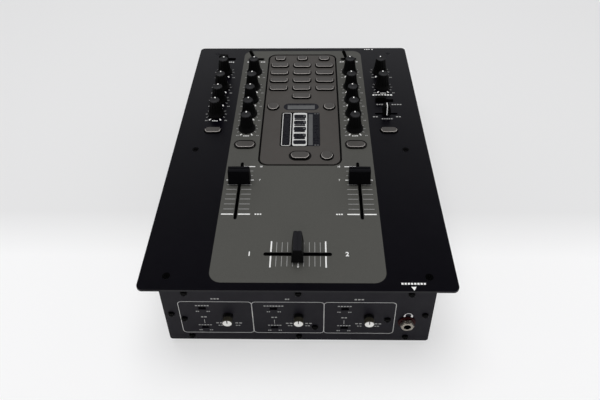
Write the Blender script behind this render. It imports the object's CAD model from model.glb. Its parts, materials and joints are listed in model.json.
"""Finish, markings and studio of a two-channel scratch mixer."""
import json
import math

import bpy
from mathutils import Matrix, Vector

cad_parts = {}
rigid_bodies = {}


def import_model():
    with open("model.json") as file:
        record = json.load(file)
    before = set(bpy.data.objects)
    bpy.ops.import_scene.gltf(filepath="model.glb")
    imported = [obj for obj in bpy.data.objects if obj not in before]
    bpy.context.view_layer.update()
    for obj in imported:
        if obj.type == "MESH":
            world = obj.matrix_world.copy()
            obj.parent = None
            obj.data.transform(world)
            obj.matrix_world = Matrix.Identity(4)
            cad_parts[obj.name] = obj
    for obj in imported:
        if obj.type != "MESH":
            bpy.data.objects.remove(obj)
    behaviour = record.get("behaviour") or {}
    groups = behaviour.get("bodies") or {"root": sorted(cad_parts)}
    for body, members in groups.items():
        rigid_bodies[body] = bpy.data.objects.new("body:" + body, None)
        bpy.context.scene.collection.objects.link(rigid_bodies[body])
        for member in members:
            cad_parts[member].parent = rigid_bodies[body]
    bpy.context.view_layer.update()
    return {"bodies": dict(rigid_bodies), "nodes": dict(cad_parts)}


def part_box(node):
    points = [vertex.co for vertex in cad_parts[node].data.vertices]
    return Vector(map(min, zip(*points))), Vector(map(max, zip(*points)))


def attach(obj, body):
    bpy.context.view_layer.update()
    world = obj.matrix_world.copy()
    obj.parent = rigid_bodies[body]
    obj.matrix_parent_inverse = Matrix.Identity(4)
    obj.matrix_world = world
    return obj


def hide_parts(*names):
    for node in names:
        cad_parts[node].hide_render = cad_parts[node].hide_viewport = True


bl_info = {
    "name": "Scratch mixer finish",
    "version": (1, 0, 0),
    "blender": (4, 5, 0),
    "location": "3D View > Sidebar > Mixer",
    "description": "Dresses a scratch mixer: paint, prints, knobs, windows and studio",
    "category": "Object",
}

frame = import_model()

MM = 0.001
UP = (0.0, 0.0, 0.0)
FORWARD = (math.pi / 2, 0.0, 0.0)
BACKWARD = (math.pi / 2, 0.0, math.pi)

# Planes and places taken from the frame
PLATE_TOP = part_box("faceplate")[1].z
FRONT_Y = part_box("front_panel")[0].y
REAR_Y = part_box("rear_panel")[1].y
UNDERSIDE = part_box("front_panel")[0].z
PLATE_HALF_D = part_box("faceplate")[1].y


def middle(node):
    """Centre of a node's box at rest."""
    low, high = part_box(node)
    return (low + high) / 2


KNOBS = [b for b in frame["bodies"] if b.endswith(("_knob", "_knob_1", "_knob_2"))
         and not b.startswith("contour")]
CONTOUR_KNOBS = ["contour_knob_1", "contour_knob_cross", "contour_knob_2"]
KEY_RISE = 1.8 * MM
SCALE_FAR_Y = -37.5 * MM
# Height of the numbers over the plate, in millimetres as on_plate takes it
NUMERAL_LIFT = 0.04
BLACK = (0.003, 0.003, 0.003)
BOARD_GREEN = (0.010, 0.060, 0.028)
TRACK_GREEN = (0.020, 0.110, 0.050)
CHANNEL_X = middle("gain_knob_2").x
OUTER_X = middle("master_knob").x
CROSS_Y = middle("crossfader").y
TOGGLE_Y = middle("toggle_lever_1").y


# ---- Settings that a user would change ----

class MixerSizes(bpy.types.PropertyGroup):
    ink: bpy.props.FloatProperty(
        name="Ink", description="Thickness of the printed marks",
        default=0.06 * MM, subtype="DISTANCE", unit="LENGTH")
    grey_half_width: bpy.props.FloatProperty(
        name="Grey half width", description="Half width of the grey painted field",
        default=71.2 * MM, subtype="DISTANCE", unit="LENGTH")
    grey_margin: bpy.props.FloatProperty(
        name="Grey margin", description="Black paint left at the near and far edges",
        default=7.0 * MM, subtype="DISTANCE", unit="LENGTH")
    grey_radius: bpy.props.FloatProperty(
        name="Grey radius", description="Corner radius of the grey painted field",
        default=10.5 * MM, subtype="DISTANCE", unit="LENGTH")
    tick_radius: bpy.props.FloatProperty(
        name="Tick radius", description="Middle of the tick marks round each knob",
        default=11.0 * MM, subtype="DISTANCE", unit="LENGTH")
    scale_pitch: bpy.props.FloatProperty(
        name="Scale pitch", description="Distance between lines of the channel scales",
        default=6.1 * MM, subtype="DISTANCE", unit="LENGTH")


class MixerColours(bpy.types.PropertyGroup):
    black_paint: bpy.props.FloatVectorProperty(
        name="Black paint", description="Faceplate outside the grey field",
        default=(0.0016, 0.0013, 0.0028), size=3, subtype="COLOR", min=0, max=1)
    grey_paint: bpy.props.FloatVectorProperty(
        name="Grey paint", description="Painted field of the faceplate",
        default=(0.079, 0.0785, 0.071), size=3, subtype="COLOR", min=0, max=1)
    effect_paint: bpy.props.FloatVectorProperty(
        name="Effect panel paint", description="Panel of the effect keys",
        default=(0.068, 0.063, 0.058), size=3, subtype="COLOR", min=0, max=1)
    front_paint: bpy.props.FloatVectorProperty(
        name="Front paint", description="Front and rear panels",
        default=(0.0082, 0.0074, 0.0105), size=3, subtype="COLOR", min=0, max=1)
    print_white: bpy.props.FloatVectorProperty(
        name="White print", description="Marks and scales",
        default=(0.86, 0.86, 0.84), size=3, subtype="COLOR", min=0, max=1)
    key_grey: bpy.props.FloatVectorProperty(
        name="Keys", description="Moulded keys",
        default=(0.066, 0.062, 0.058), size=3, subtype="COLOR", min=0, max=1)


def sizes():
    return bpy.context.scene.mixer_sizes


def colours():
    return bpy.context.scene.mixer_colours


# ---- Materials ----

def new_material(name, colour, roughness, metallic=0.0, specular=0.3):
    """Principled material with its uniform values on the shader's own sockets."""
    mat = bpy.data.materials.new(name)
    mat.use_nodes = True
    shader = mat.node_tree.nodes["Principled BSDF"]
    shader.inputs["Base Color"].default_value = (*colour, 1)
    shader.inputs["Roughness"].default_value = roughness
    shader.inputs["Metallic"].default_value = metallic
    shader.inputs["Specular IOR Level"].default_value = specular
    return mat, mat.node_tree.nodes, mat.node_tree.links, shader


def object_coordinates(nodes):
    return nodes.new("ShaderNodeTexCoord").outputs["Object"]


def noise(nodes, links, scale, detail, stretch=None):
    """Noise over Object coordinates, stretched along an axis where wanted."""
    texture = nodes.new("ShaderNodeTexNoise")
    texture.inputs["Scale"].default_value = scale
    texture.inputs["Detail"].default_value = detail
    place = nodes.new("ShaderNodeMapping")
    if stretch:
        place.inputs["Scale"].default_value = stretch
    links.new(object_coordinates(nodes), place.inputs["Vector"])
    links.new(place.outputs["Vector"], texture.inputs["Vector"])
    return texture.outputs["Fac"]


def remap(nodes, links, value, low, high, to_low, to_high):
    node = nodes.new("ShaderNodeMapRange")
    node.inputs["From Min"].default_value = low
    node.inputs["From Max"].default_value = high
    node.inputs["To Min"].default_value = to_low
    node.inputs["To Max"].default_value = to_high
    links.new(value, node.inputs["Value"])
    return node.outputs["Result"]


def mix_colours(nodes, links, factor, first, second):
    """Mix of two colours, each a tuple or a socket."""
    node = nodes.new("ShaderNodeMix")
    node.data_type = "RGBA"
    links.new(factor, node.inputs["Factor"])
    for socket, value in (("A", first), ("B", second)):
        target = [i for i in node.inputs if i.name == socket and i.type == "RGBA"][0]
        if isinstance(value, tuple):
            target.default_value = (*value, 1)
        else:
            links.new(value, target)
    return [o for o in node.outputs if o.type == "RGBA"][0]


def shade(colour, factor):
    return tuple(min(1.0, c * factor) for c in colour)


def add_surface(nodes, links, shader, roughness, grain, depth, spread=0.08, stretch=None):
    """Fine grain: a bump, and roughness that varies a little over the surface."""
    bump = nodes.new("ShaderNodeBump")
    bump.inputs["Strength"].default_value = depth
    bump.inputs["Distance"].default_value = 0.1 * MM
    links.new(noise(nodes, links, grain, 2.0, stretch), bump.inputs["Height"])
    links.new(bump.outputs["Normal"], shader.inputs["Normal"])
    varied = remap(nodes, links, noise(nodes, links, grain / 18, 4.0, stretch), 0.3, 0.7,
                   max(0.02, roughness - spread), min(1.0, roughness + spread))
    links.new(varied, shader.inputs["Roughness"])


def finish(name, colour, roughness, metallic=0.0, specular=0.3, grain=2500,
           depth=0.15, tone=0.12, patch=60, stretch=None, spread=0.08):
    """A moulded, painted or metal finish with grain and slow changes of tone."""
    mat, nodes, links, shader = new_material(name, colour, roughness, metallic, specular)
    patches = remap(nodes, links, noise(nodes, links, patch, 5.0, stretch), 0.3, 0.7, 0.0, 1.0)
    links.new(mix_colours(nodes, links, patches, shade(colour, 1 - tone), shade(colour, 1 + tone)),
              shader.inputs["Base Color"])
    add_surface(nodes, links, shader, roughness, grain, depth, spread, stretch)
    return mat


def axis_value(nodes, links, axis):
    split = nodes.new("ShaderNodeSeparateXYZ")
    links.new(object_coordinates(nodes), split.inputs["Vector"])
    return split.outputs[axis]


def band(name, axis, below, *steps, width=0.05 * MM, **kwargs):
    """A finish whose colour changes at planes across one axis: steps of (plane, colour)."""
    mat = finish(name, below, **kwargs)
    nodes, links = mat.node_tree.nodes, mat.node_tree.links
    base = nodes["Principled BSDF"].inputs["Base Color"]
    colour = base.links[0].from_socket
    for plane, above in steps:
        side = remap(nodes, links, axis_value(nodes, links, axis), plane - width,
                     plane + width, 0, 1)
        colour = mix_colours(nodes, links, side, colour, above)
    links.new(colour, base)
    return mat


def math_node(nodes, links, operation, first, second):
    node = nodes.new("ShaderNodeMath")
    node.operation = operation
    for socket, value in zip(node.inputs, (first, second)):
        if isinstance(value, (int, float)):
            socket.default_value = value
        else:
            links.new(value, socket)
    return node.outputs["Value"]


def field_mask(nodes, links, centre, half, radius):
    """1 inside a rounded rectangle on the XY plane, 0 outside, from its distance."""
    reach = []
    for axis in (0, 1):
        along = axis_value(nodes, links, "XY"[axis])
        offset = math_node(nodes, links, "SUBTRACT", along, centre[axis])
        size = math_node(nodes, links, "ABSOLUTE", offset, 0)
        past = math_node(nodes, links, "SUBTRACT", size, half[axis] - radius)
        reach.append(math_node(nodes, links, "MAXIMUM", past, 0))
    squares = [math_node(nodes, links, "POWER", r, 2) for r in reach]
    total = math_node(nodes, links, "ADD", *squares)
    distance = math_node(nodes, links, "SQRT", total, 0)
    return remap(nodes, links, distance, radius - 0.06 * MM, radius + 0.06 * MM, 1, 0)


def faceplate_paint():
    """Satin black paint with a grey field painted over it on the top face."""
    s, c = sizes(), colours()
    mat = finish("satin_black_with_grey_field", tuple(c.black_paint), 0.34, specular=0.2,
                 grain=3200, depth=0.12, patch=25, spread=0.02)
    nodes, links = mat.node_tree.nodes, mat.node_tree.links
    shader = nodes["Principled BSDF"]
    half = (s.grey_half_width, PLATE_HALF_D - s.grey_margin)
    centre = (0.2 * MM, 0.2 * MM)
    field = field_mask(nodes, links, centre, half, s.grey_radius)
    top = remap(nodes, links, axis_value(nodes, links, "Z"),
                PLATE_TOP - 0.35 * MM, PLATE_TOP - 0.25 * MM, 0, 1)
    mask = math_node(nodes, links, "MULTIPLY", field, top)
    black = shader.inputs["Base Color"].links[0].from_socket
    grey = tuple(c.grey_paint)
    speckle = remap(nodes, links, noise(nodes, links, 1400, 2.0), 0.35, 0.65, 0, 1)
    mottled = mix_colours(nodes, links, speckle, shade(grey, 0.93), shade(grey, 1.07))
    links.new(mix_colours(nodes, links, mask, black, mottled), shader.inputs["Base Color"])
    satin = shader.inputs["Roughness"].links[0].from_socket
    duller = math_node(nodes, links, "MULTIPLY", mask, 0.3)
    links.new(math_node(nodes, links, "ADD", satin, duller), shader.inputs["Roughness"])
    return mat


def brushed(name, colour, roughness, direction):
    """Metal with fine lines along one axis."""
    stretch = {"X": (0.04, 1, 1), "Y": (1, 0.04, 1), "Z": (1, 1, 0.04)}[direction]
    return finish(name, colour, roughness, metallic=1.0, grain=3000, depth=0.2, tone=0.08,
                  stretch=stretch)


def board_lacquer():
    """Solder mask with its tracks a little lighter, and parts above the board darker."""
    mat = finish("solder_mask", BOARD_GREEN, 0.35, grain=900, depth=0.05)
    nodes, links = mat.node_tree.nodes, mat.node_tree.links
    shader = nodes["Principled BSDF"]
    tracks = nodes.new("ShaderNodeTexWave")
    tracks.inputs["Scale"].default_value = 120
    tracks.inputs["Distortion"].default_value = 6
    links.new(object_coordinates(nodes), tracks.inputs["Vector"])
    lines = remap(nodes, links, tracks.outputs["Fac"], 0.75, 0.8, 0, 1)
    under = shader.inputs["Base Color"].links[0].from_socket
    links.new(mix_colours(nodes, links, lines, under, TRACK_GREEN),
              shader.inputs["Base Color"])
    return mat


def dress(mat, *nodes):
    """Puts one material on CAD nodes."""
    for name in nodes:
        mesh = frame["nodes"][name].data
        mesh.materials.clear()
        mesh.materials.append(mat)


# ---- Modelling helpers ----

def deselect():
    bpy.ops.object.select_all(action="DESELECT")


def start_piece(name):
    """An empty mesh at the origin, open in edit mode."""
    deselect()
    mesh = bpy.data.meshes.new(name)
    piece = bpy.data.objects.new(name, mesh)
    bpy.context.scene.collection.objects.link(piece)
    bpy.context.view_layer.objects.active = piece
    piece.select_set(True)
    bpy.ops.object.mode_set(mode="EDIT")
    return piece


def apply_modifier(piece, kind, **settings):
    modifier = piece.modifiers.new(kind.title(), kind)
    for key, value in settings.items():
        setattr(modifier, key, value)
    bpy.context.view_layer.objects.active = piece
    bpy.ops.object.modifier_apply(modifier=modifier.name)


def end_piece(piece, mat, body, thickness=None):
    """Leaves edit mode, gives flat marks their thickness, and hands the piece over."""
    bpy.ops.object.mode_set(mode="OBJECT")
    if thickness:
        apply_modifier(piece, "SOLIDIFY", thickness=thickness, offset=1.0)
    piece.data.materials.append(mat)
    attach(piece, body)
    return piece


def end_print(piece, paint):
    """Hands over a printed mark on the case, as thick as the ink."""
    end_piece(piece, material(paint), "case", sizes().ink)


def bar(centre, width, height, facing=UP, turn=0.0):
    """A flat bar in the open piece. turn is about its own normal."""
    axes = (Matrix.Rotation(facing[2], 3, "Z") @ Matrix.Rotation(facing[0], 3, "X")
            @ Matrix.Rotation(turn, 3, "Z"))
    bpy.ops.mesh.primitive_plane_add(size=1, location=centre, rotation=axes.to_euler())
    bpy.ops.transform.resize(value=(width, height, 1), orient_type="GLOBAL", orient_matrix=axes,
                             orient_matrix_type="GLOBAL", center_override=centre)


def rounded(centre, width, height, radius, facing=UP, line=None):
    """A rounded rectangle in the open piece: filled, or a line of the given width."""
    bar(centre, width, height, facing)
    bpy.ops.mesh.bevel(offset=radius, affect="VERTICES", segments=6)
    if line:
        bpy.ops.mesh.inset(thickness=line)
        bpy.ops.mesh.delete(type="FACE")


def disc(centre, radius, facing=UP, sides=24):
    bpy.ops.mesh.primitive_circle_add(vertices=sides, radius=radius, fill_type="NGON",
                                      location=centre, rotation=(facing[0], 0, facing[2]))


def ring(centre, radius, line, facing=UP, sides=32):
    disc(centre, radius, facing, sides)
    bpy.ops.mesh.inset(thickness=line)
    bpy.ops.mesh.delete(type="FACE")


def caption(centre, width, facing=UP, height=1.5 * MM, count=None):
    """A row of plain dashes where a word would stand."""
    count = count or max(1, round(width / (2.6 * MM)))
    pitch = width / count
    along = Vector((1, 0, 0)) if facing != BACKWARD else Vector((-1, 0, 0))
    for i in range(count):
        place = Vector(centre) + along * pitch * (i - (count - 1) / 2)
        bar(place, pitch * 0.68, height, facing)


def numeral(name, text, x, y, height):
    """A plain white number on the faceplate, as a thin mesh."""
    deselect()
    bpy.ops.object.text_add(location=on_plate(x, y, NUMERAL_LIFT), rotation=UP)
    piece = bpy.context.object
    piece.name = name
    piece.data.body = text
    piece.data.align_x = "CENTER"
    piece.data.align_y = "CENTER"
    piece.data.size = height * 1.4
    piece.data.offset = height * 0.03
    piece.data.extrude = sizes().ink / 2
    piece.data.resolution_u = 3
    bpy.ops.object.convert(target="MESH")
    piece = bpy.context.object
    bpy.ops.object.transform_apply(location=True, rotation=True, scale=True)
    piece.data.materials.clear()
    piece.data.materials.append(material("white_print"))
    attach(piece, "case")


def on_plate(x, y, lift=0.01):
    return (x, y, PLATE_TOP + lift * MM)


def on_front(x, z, lift=0.01):
    return (x, FRONT_Y - lift * MM, z)


def on_rear(x, z, lift=0.01):
    return (x, REAR_Y + lift * MM, z)


def scale_row(row):
    """Y of a line of the channel scales, counted from the far end."""
    return SCALE_FAR_Y - row * sizes().scale_pitch


def material(name):
    return bpy.data.materials[name]


# ---- Operators, one for each piece or group of like pieces ----

class MixerPart(bpy.types.Operator):
    """Makes one group of pieces"""
    bl_options = {"REGISTER", "UNDO"}

    def execute(self, context):
        self.make()
        return {"FINISHED"}


class MIXER_OT_paints(MixerPart):
    """Makes the materials that prints and added pieces share"""
    bl_idname = "mixer.paints"
    bl_label = "Paints"

    def make(self):
        c = colours()
        finish("white_print", tuple(c.print_white), 0.55, grain=4000, depth=0.1, tone=0.03)
        finish("dim_print", shade(c.print_white, 0.42), 0.55, grain=4000, depth=0.1, tone=0.05)
        finish("faint_print", shade(c.print_white, 0.24), 0.55, grain=4000, depth=0.1, tone=0.05)
        finish("outline_print", shade(c.print_white, 0.6), 0.55, grain=4000, depth=0.1, tone=0.05)
        finish("gap_black", (0.0015, 0.0015, 0.0015), 0.8, specular=0.05, grain=3000)
        finish("meter_black", (0.009, 0.009, 0.012), 0.3, specular=0.12, grain=5000, depth=0.03)
        finish("meter_grey", (0.105, 0.107, 0.108), 0.35, specular=0.15, grain=5000, depth=0.03)
        finish("pointer_white", (0.93, 0.93, 0.91), 0.4, grain=4000, depth=0.05, tone=0.03)


class MIXER_OT_case(MixerPart):
    """Finishes the plates, panels, tray, screws and feet"""
    bl_idname = "mixer.case"
    bl_label = "Case"

    def make(self):
        c = colours()
        dress(faceplate_paint(), "faceplate")
        dress(band("effect_panel_paint", "Z", (0.002, 0.002, 0.002),
                   (PLATE_TOP - 0.6 * MM, tuple(c.effect_paint)), roughness=0.55,
                   specular=0.15, grain=2400, depth=0.15),
              "effect_panel")
        dress(finish("panel_paint", tuple(c.front_paint), 0.55, specular=0.16, grain=2200,
                     depth=0.3, spread=0.03),
              "front_panel", "rear_panel")
        dress(finish("tray_paint", shade(c.front_paint, 0.8), 0.5, specular=0.2, grain=2200,
                     depth=0.3, spread=0.03),
              "chassis_tray")
        dress(band("black_screws", "Y", (0.0006, 0.0006, 0.0006),
                   (150 * MM, (0.016, 0.016, 0.018)), roughness=0.35, specular=0.05, grain=3000,
                   depth=0.1), "case_screws")
        dress(finish("foot_rubber", (0.012, 0.012, 0.012), 0.8, grain=900, depth=0.5),
              "rubber_feet")
        dress(finish("bezel_plastic", (0.004, 0.0035, 0.003), 0.4, specular=0.2, grain=3000,
                     depth=0.05), "button_bezels")


class MIXER_OT_controls(MixerPart):
    """Finishes the knobs, caps, keys, levers and switches"""
    bl_idname = "mixer.controls"
    bl_label = "Controls"

    def make(self):
        c = colours()
        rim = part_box("gain_knob_1")[1].z - 0.62 * MM
        dress(band("knob_rubber", "Z", BLACK, (rim, (0.020, 0.020, 0.021)),
                   roughness=0.5, specular=0.08, grain=1800, depth=0.2), *KNOBS)
        cap_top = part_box("channel_fader_1")[1].z - 1.1 * MM
        dress(band("cap_plastic", "Z", (0.0025, 0.0025, 0.003),
                   (cap_top, (0.005, 0.005, 0.006)),
                   roughness=0.45, specular=0.05, grain=2600, depth=0.2),
              "channel_fader_1", "channel_fader_2")
        dress(band("crossfader_plastic", "Z", BLACK,
                   (cap_top, (0.014, 0.014, 0.016)), roughness=0.45, specular=0.08,
                   grain=2600, depth=0.2),
              "crossfader")
        dress(finish("switch_plastic", (0.002, 0.002, 0.002), 0.45, specular=0.06, grain=2600,
                     depth=0.2),
              "pan_fader", "toggle_lever_1", "toggle_lever_2", "mode_switch", "selector_switch",
              "curve_switches_upper", "curve_switches_lower", "power_rocker")
        keys = [b for b in frame["bodies"]
                if b.startswith(("effect_key", "cue_button", "section_button"))]
        top = PLATE_TOP + KEY_RISE
        dress(band("key_rubber", "Z", BLACK,
                   (top - 0.4 * MM, shade(c.key_grey, 7)), (top - 0.04 * MM, tuple(c.key_grey)),
                   width=0.03 * MM, roughness=0.45, specular=0.3, grain=1500, depth=0.15),
              *keys)
        dress(band("contour_plastic", "Y", (0.82, 0.81, 0.77),
                   (FRONT_Y - 7.2 * MM, (0.055, 0.050, 0.036)),
                   (FRONT_Y - 3.1 * MM, (0.005, 0.005, 0.005)),
                   roughness=0.35, grain=2500, depth=0.05, tone=0.04), *CONTOUR_KNOBS)


class MIXER_OT_works(MixerPart):
    """Finishes the boards, modules, transformer and sockets"""
    bl_idname = "mixer.works"
    bl_label = "Works"

    def make(self):
        dress(board_lacquer(), "control_board", "main_board")
        dress(band("front_board_finish", "Y", (0.004, 0.004, 0.004),
                   (FRONT_Y + 10.4 * MM, BOARD_GREEN), roughness=0.5, specular=0.15),
              "front_board")
        dress(finish("module_black", BLACK, 0.6, specular=0.1), "fader_modules")
        dress(brushed("zinc", (0.55, 0.56, 0.57), 0.35, "Y"), "rotary_pots")
        dress(finish("switch_black", (0.015, 0.015, 0.016), 0.5), "switch_housings",
              "power_inlet")
        dress(brushed("core_steel", (0.30, 0.31, 0.33), 0.5, "X"), "power_transformer")
        dress(finish("gold_plate", (0.72, 0.56, 0.24), 0.22, metallic=1.0, depth=0.05,
                     tone=0.05), "rca_sockets")
        dress(finish("nickel_plate", (0.62, 0.60, 0.57), 0.22, metallic=1.0, depth=0.05,
                     tone=0.05), "output_jacks")
        dress(band("phones_nickel", "Y", (0.60, 0.55, 0.48),
                   (FRONT_Y - 3.7 * MM, (0.06, 0.006, 0.005)), roughness=0.25, metallic=0.75,
                   depth=0.05), "headphone_socket")
        lens, nodes, links, shader = new_material("smoked_lens", (0.014, 0.014, 0.018), 0.15,
                                                  specular=0.15)
        add_surface(nodes, links, shader, 0.12, 3000, 0.02, spread=0.04)
        dress(lens, "display_lenses")


class MIXER_OT_pointers(MixerPart):
    """White pointers in the notches of the knobs"""
    bl_idname = "mixer.pointers"
    bl_label = "Pointers"

    width: bpy.props.FloatProperty(name="Width", default=1.4 * MM, unit="LENGTH")
    length: bpy.props.FloatProperty(name="Length", default=1.9 * MM, unit="LENGTH")
    out = 4.2 * MM
    drop = 0.55 * MM

    def make(self):
        for knob in KNOBS:
            x, y = middle(knob).xy
            piece = start_piece(knob + "_pointer")
            bar((x, y + self.out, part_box(knob)[1].z - self.drop), self.width, self.length)
            end_piece(piece, material("pointer_white"), knob, 0.5 * MM)


class MIXER_OT_key_gaps(MixerPart):
    """Dark edges of the holes that the keys come through"""
    bl_idname = "mixer.key_gaps"
    bl_label = "Key gaps"

    edge = 0.85 * MM
    gap = 0.45 * MM
    flange = 4 * MM
    panel_radius = 8.5 * MM
    panel_edge = 0.6 * MM
    columns = (-26.5, 0, 26.5)
    rows = (91.9, 107.4, 122.9, 138.4)

    def make(self):
        piece = start_piece("effect_key_gaps")
        for x in self.columns:
            self.outline(x, 153.5, 11, 9, 3.2)
            for y in self.rows:
                self.outline(x, y, 19.5, 8.6, 3.2)
        self.outline(0, 76.4, 19.5, 8.6, 3.2)
        for x, y in ((-30.6, 57.3), (30.6, 57.3), (26.5, -22.1)):
            self.outline(x, y, 11.3, 11.3, 5.6)
        low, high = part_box("effect_panel")
        size = high - low - Vector((1, 1, 0)) * 2 * self.flange
        rounded((*((low + high) / 2).xy, PLATE_TOP + 0.01 * MM), size.x, size.y,
                self.panel_radius, line=self.panel_edge)
        end_print(piece, "gap_black")
        piece = start_piece("section_button_gaps")
        for side in (-1, 1):
            self.outline(side * OUTER_X / MM, 17.1, 16.4, 7.8, 3.8)
        end_print(piece, "gap_black")

    def outline(self, x, y, width, depth, radius):
        past = 2 * (self.gap + self.edge)
        rounded(on_plate(x * MM, y * MM), width * MM + past, depth * MM + past,
                radius * MM + past / 2, line=self.edge)


class MIXER_OT_headphone_jack(MixerPart):
    """Socket with a slim nut on a red washer, in the CAD socket's place"""
    bl_idname = "mixer.headphone_jack"
    bl_label = "Headphone jack"

    washer = (7.4 * MM, 1.2 * MM)
    nut = (5.8 * MM, 3.0 * MM)
    collar = 5.0 * MM
    bore = 3.1 * MM
    reach = 5.3 * MM
    past_nut = 0.4 * MM
    sunk = 1.2 * MM
    body = (6.6 * MM, 17 * MM)
    lining = (0.3 * MM, 16 * MM)
    crease = 0.6

    def make(self):
        self.x, _, self.z = middle("headphone_socket")
        nickel = finish("socket_nickel", (0.42, 0.385, 0.33), 0.32, metallic=0.85, depth=0.06,
                        tone=0.08)
        red = finish("washer_red", (0.020, 0.002, 0.002), 0.5, specular=0.1, depth=0.1)
        black = finish("socket_black", (0.006, 0.003, 0.003), 0.6, specular=0.08)
        washer = start_piece("headphone_washer")
        self.tube(self.washer[0], self.collar, 0, self.washer[1], 48)
        self.close(washer, red, 0.35 * MM)
        nut = start_piece("headphone_nut")
        face = self.reach - self.past_nut
        self.tube(self.nut[0], self.collar, face - self.nut[1], face, 6, math.pi / 6)
        self.close(nut, nickel, 0.3 * MM)
        collar = start_piece("headphone_collar")
        self.tube(self.collar, self.bore, -self.sunk, self.reach, 40)
        self.close(collar, nickel, 0.25 * MM)
        body = start_piece("headphone_body")
        self.tube(self.body[0], self.bore, -self.body[1], -self.sunk, 40)
        self.close(body, black, 0.3 * MM)
        lining = start_piece("headphone_lining")
        self.tube(self.bore, self.bore - self.lining[0], -self.lining[1], self.reach - 1 * MM, 32)
        self.close(lining, black)
        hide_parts("headphone_socket")

    def tube(self, radius, bore, back, front, sides, turn=0.0):
        """A tube along the socket's axis, from and to distances out of the panel."""
        place = (self.x, FRONT_Y - front, self.z)
        along = {"value": (0, front - back, 0)}
        for size in (radius, bore):
            bpy.ops.mesh.select_all(action="DESELECT")
            bpy.ops.mesh.primitive_circle_add(vertices=sides, radius=size, location=place,
                                              rotation=(math.pi / 2, turn, 0))
            bpy.ops.mesh.extrude_region_move(TRANSFORM_OT_translate=along)
        bpy.ops.mesh.select_all(action="SELECT")
        bpy.ops.mesh.select_mode(type="EDGE")
        bpy.ops.mesh.select_non_manifold(extend=False)
        bpy.ops.mesh.bridge_edge_loops()

    def close(self, piece, mat, bevel=None):
        bpy.ops.mesh.select_all(action="SELECT")
        bpy.ops.mesh.normals_make_consistent(inside=False)
        bpy.ops.object.mode_set(mode="OBJECT")
        if bevel:
            apply_modifier(piece, "BEVEL", width=bevel, segments=2, angle_limit=self.crease)
        bpy.ops.object.shade_smooth_by_angle(angle=self.crease)
        bpy.ops.object.mode_set(mode="EDIT")
        end_piece(piece, mat, "case")


class MIXER_OT_knob_scales(MixerPart):
    """Tick marks and number-like marks round the knobs"""
    bl_idname = "mixer.knob_scales"
    bl_label = "Knob scales"

    def make(self):
        ends = start_piece("knob_end_ticks")
        for knob in KNOBS:
            for side in (-1, 1):
                self.tick(knob, side * 150, 2.9 * MM, 1.35 * MM)
            x, y = middle(knob).xy
            caption(on_plate(x, y - 11.6 * MM), 6.4 * MM, height=1.3 * MM, count=4)
        end_print(ends, "white_print")
        fine = start_piece("knob_fine_ticks")
        for knob in KNOBS:
            for step in range(-4, 5):
                self.tick(knob, step * 30, 2.2 * MM, 0.55 * MM, 10.3 * MM)
        end_print(fine, "dim_print")

    def tick(self, knob, degrees, length, width, reach=None):
        turn = math.radians(degrees)
        reach = reach or sizes().tick_radius
        x, y = middle(knob).xy
        bar(on_plate(x + math.sin(turn) * reach, y + math.cos(turn) * reach), width, length,
            turn=-turn)


class MIXER_OT_fader_scales(MixerPart):
    """Lines beside the channel faders and across the crossfader"""
    bl_idname = "mixer.fader_scales"
    bl_label = "Fader scales"

    gap = 4.2 * MM
    end_reach = 12.9 * MM
    line_reach = 11.6 * MM
    thin = 0.5 * MM
    cross_reach = 13.4 * MM
    cross_first = -22.3 * MM
    cross_last = 23.3 * MM
    cross_pitch = 4.56 * MM
    cross_centre = 0.5 * MM
    cross_thick = 1.2 * MM
    cross_thin = 0.45 * MM

    def make(self):
        half = self.gap / 2
        thick = start_piece("channel_scale_ends")
        for side in (-1, 1):
            for row, width in ((0, 1.1 * MM), (3, 0.95 * MM), (10, 1.25 * MM)):
                self.line(side, row, width, -self.end_reach, -half)
                if row:
                    self.line(side, row, width, half, self.end_reach)
        end_print(thick, "white_print")
        thin = start_piece("channel_scale_lines")
        for side in (-1, 1):
            for row in (1, 2, 4, 5, 6, 7, 8, 9):
                for start, stop in ((-self.line_reach, -half), (half, self.line_reach)):
                    self.line(side, row, self.thin, start, stop)
        end_print(thin, "dim_print")
        self.cross_scale()

    def line(self, side, row, width, start, stop):
        """One scale line, from and to distances outward from the slot's middle."""
        bar(on_plate(side * (CHANNEL_X + (start + stop) / 2), scale_row(row)), stop - start,
            width)

    def cross_scale(self):
        reach = self.cross_reach
        half = self.gap / 2
        ends = start_piece("crossfader_scale_ends")
        for x in (self.cross_first, self.cross_last):
            for side in (-1, 1):
                bar(on_plate(x, CROSS_Y + side * (reach + half) / 2), self.cross_thick,
                    reach - half)
        bar(on_plate(self.cross_centre, CROSS_Y - reach + 2 * MM), self.cross_thick, 4 * MM)
        end_print(ends, "white_print")
        fine = start_piece("crossfader_scale_lines")
        shorter = reach - 1 * MM
        for i in range(1, 10):
            x = self.cross_first + i * self.cross_pitch
            for side in (-1, 1):
                bar(on_plate(x, CROSS_Y + side * (shorter + half) / 2), self.cross_thin,
                    shorter - half)
        end_print(fine, "dim_print")


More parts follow.
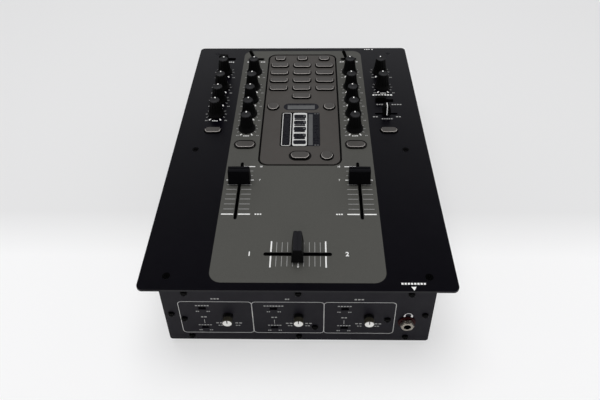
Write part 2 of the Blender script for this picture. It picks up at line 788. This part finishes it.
class MIXER_OT_plate_marks(MixerPart):
    """Numbers, captions and arrows on the faceplate"""
    bl_idname = "mixer.plate_marks"
    bl_label = "Plate marks"

    number_x = 37.5 * MM
    number_height = 2.0 * MM
    below_toggle = 6.4 * MM

    def make(self):
        numeral("cross_number_1", "1", -40.2 * MM, CROSS_Y, 4.5 * MM)
        numeral("cross_number_2", "2", 41 * MM, CROSS_Y, 4.4 * MM)
        for side, word in ((-1, "left"), (1, "right")):
            for row, text in ((0, "10"), (3, "7")):
                numeral(f"channel_number_{text}_{word}", text, side * self.number_x,
                        scale_row(row), self.number_height)
        self.captions()
        self.arrows()

    def captions(self):
        bright = start_piece("switch_captions")
        y = TOGGLE_Y - self.below_toggle
        caption(on_plate(-OUTER_X + 5 * MM, y), 8 * MM)
        for side in (-1, 1):
            for x in (-8.2, 8.2):
                caption(on_plate(side * CHANNEL_X + x * MM, y), 6 * MM)
            caption(on_plate(side * 36.1 * MM, scale_row(10)), 6.6 * MM, height=1.4 * MM,
                    count=3)
        caption(on_plate(OUTER_X - 1.2 * MM, 78.8 * MM), 23 * MM, height=2 * MM, count=7)
        end_print(bright, "white_print")
        dim = start_piece("control_captions")
        for x, y, width in ((-4.3, 61.4, 10.7), (12.7, 61.2, 11.5), (-12.2, 39.8, 6),
                            (12.3, 39.8, 6), (0, 36.4, 12)):
            caption(on_plate(OUTER_X + x * MM, y * MM), width * MM)
        for knob in KNOBS:
            x, y = middle(knob).xy
            for past in (-9.2, 11.6):
                caption(on_plate(x + past * MM, y - 11 * MM), 3 * MM, height=1.1 * MM, count=2)
        end_print(dim, "dim_print")

    def arrows(self):
        piece = start_piece("edge_arrows")
        near = on_plate(91.5 * MM, -174.6 * MM)
        far = on_plate(86.5 * MM, 174.2 * MM)
        for place, size, turn in ((near, 2.4, -math.pi / 2), (far, 1.3, math.pi / 2)):
            bpy.ops.mesh.primitive_circle_add(vertices=3, radius=size * MM, fill_type="NGON",
                                              location=place, rotation=(0, 0, turn - math.pi / 2))
        caption(on_plate(91.7 * MM, -170.6 * MM), 20 * MM, height=1.7 * MM, count=8)
        caption(on_plate(80 * MM, 174.2 * MM), 8 * MM, height=1.2 * MM)
        end_print(piece, "white_print")


class MIXER_OT_meter(MixerPart):
    """Counter and level meter in the effect panel's windows"""
    bl_idname = "mixer.meter"
    bl_label = "Meter"

    thick_cells = (40.15, 30.0, 19.65, 8.8, -1.6)
    thin_cells = (35.45, 25.3, 15.55, 4.3)
    layer = 0.08
    middle_y = 19.6 * MM
    column_x = -14.8 * MM
    ladder_x = -0.9 * MM
    strip_x = 16.5 * MM

    def make(self):
        finish("meter_white", shade(colours().print_white, 0.68), 0.55, grain=4000,
               depth=0.1, tone=0.03)
        back = start_piece("meter_back")
        rounded(on_plate(-6.8 * MM, self.middle_y), 28.4 * MM, 55.2 * MM, 2.2 * MM)
        end_print(back, "gap_black")
        counter = start_piece("counter_bar")
        rounded(on_plate(0, 57.3 * MM), 29.5 * MM, 8.6 * MM, 0.8 * MM)
        end_print(counter, "meter_grey")
        shadow = start_piece("counter_shadow")
        bar(on_plate(0, 60.6 * MM, self.layer), 29 * MM, 1.6 * MM)
        end_print(shadow, "meter_black")
        column = start_piece("meter_outline")
        rounded(on_plate(self.column_x, self.middle_y, self.layer), 9.4 * MM, 53.4 * MM, 1.8 * MM,
                line=0.75 * MM)
        end_print(column, "meter_white")
        ladder = start_piece("meter_ladder")
        rounded(on_plate(self.ladder_x, self.middle_y, self.layer), 14.8 * MM, 53.6 * MM, 2.2 * MM)
        end_print(ladder, "meter_white")
        cells = start_piece("meter_cells")
        lift = 2 * self.layer
        rounded(on_plate(self.column_x, 19.4 * MM, lift), 6.4 * MM, 49.6 * MM, 0.8 * MM)
        for y in self.thick_cells:
            rounded(on_plate(self.ladder_x, y * MM, lift), 12.8 * MM, 6.2 * MM, 1.8 * MM)
        for y in self.thin_cells:
            rounded(on_plate(-1.1 * MM, y * MM, lift), 11.4 * MM, 2.7 * MM, 0.7 * MM)
        rounded(on_plate(self.strip_x, 18.8 * MM, lift), 6.8 * MM, 46.6 * MM, 0.5 * MM)
        end_print(cells, "meter_black")
        strip = start_piece("meter_strip")
        rounded(on_plate(10.3 * MM, 19 * MM), 4.4 * MM, 50 * MM, 0.5 * MM)
        for y in self.thick_cells[:4]:
            disc(on_plate(3.4 * MM, y * MM + 0.6 * MM, 3 * self.layer), 1.0 * MM, sides=12)
        for y in (44.6, -6.2):
            caption(on_plate(self.strip_x, y * MM, 3 * self.layer), 5.6 * MM, height=1.3 * MM,
                    count=2)
        end_print(strip, "meter_grey")


class MIXER_OT_slider_lines(MixerPart):
    """White line over the pan fader's cap and pointers of the contour knobs"""
    bl_idname = "mixer.slider_lines"
    bl_label = "Slider lines"

    width = 0.9 * MM
    cap_half = 4.8 * MM
    cap_gap = 1.9 * MM
    draft = 1.5 * MM

    def make(self):
        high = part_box("pan_fader")[1]
        piece = start_piece("pan_fader_line")
        x, y = middle("pan_fader").xy
        foot = self.cap_half
        top = foot - self.draft
        tall = high.z - PLATE_TOP - self.cap_gap
        bar((x, y, high.z - 0.15 * MM), self.width, 2 * top)
        slope = (FORWARD[0] - math.atan2(self.draft, tall), 0.0, 0.0)
        bar((x, y - (foot + top) / 2, high.z - tall / 2), self.width, tall, slope)
        end_piece(piece, material("pointer_white"), "pan_fader", 0.15 * MM)
        for knob in CONTOUR_KNOBS:
            line = start_piece(knob + "_line")
            x, _, z = middle(knob)
            bar((x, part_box(knob)[0].y + 0.2 * MM, z + 2.2 * MM), 0.8 * MM, 3.6 * MM, FORWARD)
            end_piece(line, material("meter_black"), knob, 0.25 * MM)


class MIXER_OT_front_marks(MixerPart):
    """Outlines and captions on the front panel"""
    bl_idname = "mixer.front_marks"
    bl_label = "Front marks"

    edges = (-98.8, -37.9, 21.7, 80.8)
    high = 25.7
    low = 70.1
    line = 0.48

    def make(self):
        outline = start_piece("front_outlines")
        for left, right in zip(self.edges, self.edges[1:]):
            rounded(on_front((left + right) / 2 * MM, PLATE_TOP - (self.high + self.low) / 2 * MM),
                    (right - left + self.line / 2) * MM, (self.low - self.high) * MM, 3.5 * MM,
                    FORWARD, self.line * MM)
        end_print(outline, "outline_print")
        labels = start_piece("front_captions")
        for i, knob in enumerate(CONTOUR_KNOBS):
            self.section(i, middle(knob).x)
        end_print(labels, "dim_print")
        icon = start_piece("headphone_symbol")
        x, z = 91.8 * MM, PLATE_TOP - 43.4 * MM
        for i in range(9):
            turn = math.radians(-90 + 180 / 8 * i)
            bar(on_front(x + math.sin(turn) * 2.9 * MM, z + math.cos(turn) * 2.6 * MM),
                1.3 * MM, 0.5 * MM, FORWARD, turn=-turn)
        for side in (-1, 1):
            rounded(on_front(x + side * 3 * MM, z - 1.3 * MM), 1.6 * MM, 2.8 * MM, 0.6 * MM,
                    FORWARD)
        end_print(icon, "white_print")

    def section(self, i, knob_x):
        """Captions of one channel's switches and contour knob."""
        switch_x = knob_x - 20.5 * MM

        def at(x, drop, width, **kwargs):
            caption(on_front(x, PLATE_TOP - drop * MM), width * MM, FORWARD, **kwargs)

        at(knob_x - 9 * MM, 22, (7.6, 4, 8.5)[i])
        at(switch_x, 31.4, (12, 17, 12)[i], height=1.2 * MM)
        at(switch_x, 47.3, 5.5, height=1.3 * MM)
        at(switch_x, 58.8, 12, height=1.0 * MM)
        for drop in (39.4, 66.2):
            for side in (-1, 1):
                at(switch_x + side * 4.5 * MM, drop, 3.2, height=1.1 * MM, count=2)
        bar(on_front(switch_x, PLATE_TOP - 53.6 * MM), 0.45 * MM, 5.6 * MM, FORWARD)
        at(knob_x, 43.4, 4.2, height=1.2 * MM, count=3)
        for side in (-1, 1):
            at(knob_x + side * 8.2 * MM, 55.8, 6.4, height=1.1 * MM)
            at(knob_x + side * 7.4 * MM, 59.3, 4.4, height=1.0 * MM)


class MIXER_OT_rear_marks(MixerPart):
    """Collars and captions of the rear sockets"""
    bl_idname = "mixer.rear_marks"
    bl_label = "Rear marks"

    columns = 6
    pitch = 16
    collar = 0.8 * MM

    def make(self):
        white = start_piece("phono_collars_left")
        self.collars(39)
        end_piece(white, material("white_print"), "case", self.collar)
        finish("collar_red", (0.35, 0.015, 0.012), 0.4, tone=0.05)
        red = start_piece("phono_collars_right")
        self.collars(23)
        end_piece(red, material("collar_red"), "case", self.collar)
        labels = start_piece("rear_captions")
        for i in range(self.columns):
            caption(on_rear(self.column(i), UNDERSIDE + 47 * MM), 9 * MM, BACKWARD, count=3)
        for pair in range(3):
            x = (self.column(2 * pair) + self.column(2 * pair + 1)) / 2
            rounded(on_rear(x, UNDERSIDE + 33 * MM), 30 * MM, 36 * MM, 3 * MM, BACKWARD, 0.6 * MM)
        for x, z in ((10, 50.5), (28, 50.5), (19, 12.5)):
            caption(on_rear(x * MM, UNDERSIDE + z * MM), 8 * MM, BACKWARD, count=3)
        end_print(labels, "dim_print")

    def column(self, i):
        return (-88 + self.pitch * i) * MM

    def collars(self, z):
        for i in range(self.columns):
            ring(on_rear(self.column(i), UNDERSIDE + z * MM), 6.2 * MM, 1.9 * MM, BACKWARD)


class MIXER_OT_stage(MixerPart):
    """Pale floor, soft lamps and the camera"""
    bl_idname = "mixer.stage"
    bl_label = "Stage"

    focal = 36.01
    yaw = math.radians(-1.459)
    pitch = math.radians(36.824)
    roll = math.radians(0.937)
    place = Vector((12.6 * MM, -462.0 * MM, PLATE_TOP + 400.3 * MM))
    shift = (-0.0009, -0.1692)
    floor_lift = 0.5
    floor_glow = 1.15
    floor_near = (0.905, 0.905, 0.905)
    floor_far = (0.755, 0.755, 0.755)
    softboxes = (("top_softbox", (-0.1, 0.15, 2.1), 1.4, 30),
                 ("front_softbox", (0.3, -2.2, 0.9), 2.2, 22))
    target = Vector((0, 0, 0.05))
    air_behind = (0.92, 0.93, 0.96)
    air_front = (0.30, 0.30, 0.32)
    air_above = (0.06, 0.06, 0.07)

    def make(self):
        self.floor()
        self.lamps()
        self.camera()
        bpy.context.scene.view_settings.view_transform = "Standard"

    def floor(self):
        bpy.ops.mesh.primitive_plane_add(size=8, location=(0, 0, 0))
        floor = bpy.context.object
        floor.name = "studio_floor"
        mat, nodes, links, shader = new_material("floor_paper", self.floor_near, 0.9,
                                                specular=0.1)
        far = remap(nodes, links, axis_value(nodes, links, "Y"), -75 * MM, -15 * MM, 0, 1)
        links.new(mix_colours(nodes, links, far, self.floor_near, self.floor_far),
                  shader.inputs["Base Color"])
        self.lift_floor(nodes, links, shader)
        floor.data.materials.append(mat)

    def lift_floor(self, nodes, links, shader):
        """Shows half of the floor's colour unshaded, to the camera alone."""
        glow = nodes.new("ShaderNodeEmission")
        links.new(shader.inputs["Base Color"].links[0].from_socket, glow.inputs["Color"])
        glow.inputs["Strength"].default_value = self.floor_glow
        share = remap(nodes, links, nodes.new("ShaderNodeLightPath").outputs["Is Camera Ray"],
                      0, 1, 0, self.floor_lift)
        blend = nodes.new("ShaderNodeMixShader")
        links.new(share, blend.inputs["Fac"])
        links.new(shader.outputs["BSDF"], blend.inputs[1])
        links.new(glow.outputs["Emission"], blend.inputs[2])
        links.new(blend.outputs["Shader"], nodes["Material Output"].inputs["Surface"])

    def lamp(self, name, place, size, watts):
        bpy.ops.object.light_add(type="AREA", location=place)
        lamp = bpy.context.object
        lamp.name = name
        lamp.data.size = size
        lamp.data.energy = watts
        lamp.visible_glossy = False
        aim = self.target - Vector(place)
        lamp.rotation_euler = aim.to_track_quat("-Z", "Y").to_euler()

    def lamps(self):
        for softbox in self.softboxes:
            self.lamp(*softbox)
        world = bpy.data.worlds.new("studio_air")
        bpy.context.scene.world = world
        world.use_nodes = True
        nodes, links = world.node_tree.nodes, world.node_tree.links
        nodes["Background"].inputs["Strength"].default_value = 1.0
        split = nodes.new("ShaderNodeSeparateXYZ")
        links.new(nodes.new("ShaderNodeTexCoord").outputs["Generated"], split.inputs["Vector"])
        height = remap(nodes, links, split.outputs["Z"], 0.42, 0.70, 0, 1)
        front = remap(nodes, links, split.outputs["Y"], -0.3, 0.2, 1, 0)
        around = mix_colours(nodes, links, front, self.air_behind, self.air_front)
        links.new(mix_colours(nodes, links, height, around, self.air_above),
                  nodes["Background"].inputs["Color"])

    def camera(self):
        cy, sy = math.cos(self.yaw), math.sin(self.yaw)
        cp, sp = math.cos(self.pitch), math.sin(self.pitch)
        ahead = Vector((sy * cp, cy * cp, -sp))
        right = Vector((cy, -sy, 0))
        down = ahead.cross(right)
        cr, sr = math.cos(self.roll), math.sin(self.roll)
        across = right * cr + down * sr
        below = down * cr - right * sr
        turn = Matrix((across, -below, -ahead)).transposed()
        bpy.ops.object.camera_add()
        camera = bpy.context.object
        camera.name = "product_camera"
        camera.matrix_world = Matrix.Translation(self.place) @ turn.to_4x4()
        camera.data.sensor_width = 36
        camera.data.lens = self.focal
        camera.data.shift_x, camera.data.shift_y = self.shift
        camera.data.clip_start = 0.01
        bpy.context.scene.camera = camera


class MIXER_PT_panel(bpy.types.Panel):
    """Lists the mixer's settings and steps"""
    bl_idname = "MIXER_PT_panel"
    bl_label = "Scratch mixer"
    bl_space_type = "VIEW_3D"
    bl_region_type = "UI"
    bl_category = "Mixer"

    def draw(self, context):
        for group in (context.scene.mixer_sizes, context.scene.mixer_colours):
            for name in group.__annotations__:
                self.layout.prop(group, name)
        for step in STEPS:
            self.layout.operator(step.bl_idname)


STEPS = (
    MIXER_OT_stage,
    MIXER_OT_paints,
    MIXER_OT_case,
    MIXER_OT_controls,
    MIXER_OT_works,
    MIXER_OT_pointers,
    MIXER_OT_key_gaps,
    MIXER_OT_headphone_jack,
    MIXER_OT_knob_scales,
    MIXER_OT_fader_scales,
    MIXER_OT_plate_marks,
    MIXER_OT_meter,
    MIXER_OT_slider_lines,
    MIXER_OT_front_marks,
    MIXER_OT_rear_marks,
)
CLASSES = (MixerSizes, MixerColours, *STEPS, MIXER_PT_panel)


def register():
    for cls in CLASSES:
        bpy.utils.register_class(cls)
    bpy.types.Scene.mixer_sizes = bpy.props.PointerProperty(type=MixerSizes)
    bpy.types.Scene.mixer_colours = bpy.props.PointerProperty(type=MixerColours)


def unregister():
    del bpy.types.Scene.mixer_sizes
    del bpy.types.Scene.mixer_colours
    for cls in reversed(CLASSES):
        bpy.utils.unregister_class(cls)


def main():
    register()
    for step in STEPS:
        group, name = step.bl_idname.split(".")
        getattr(getattr(bpy.ops, group), name)()


if __name__ == "__main__":
    main()
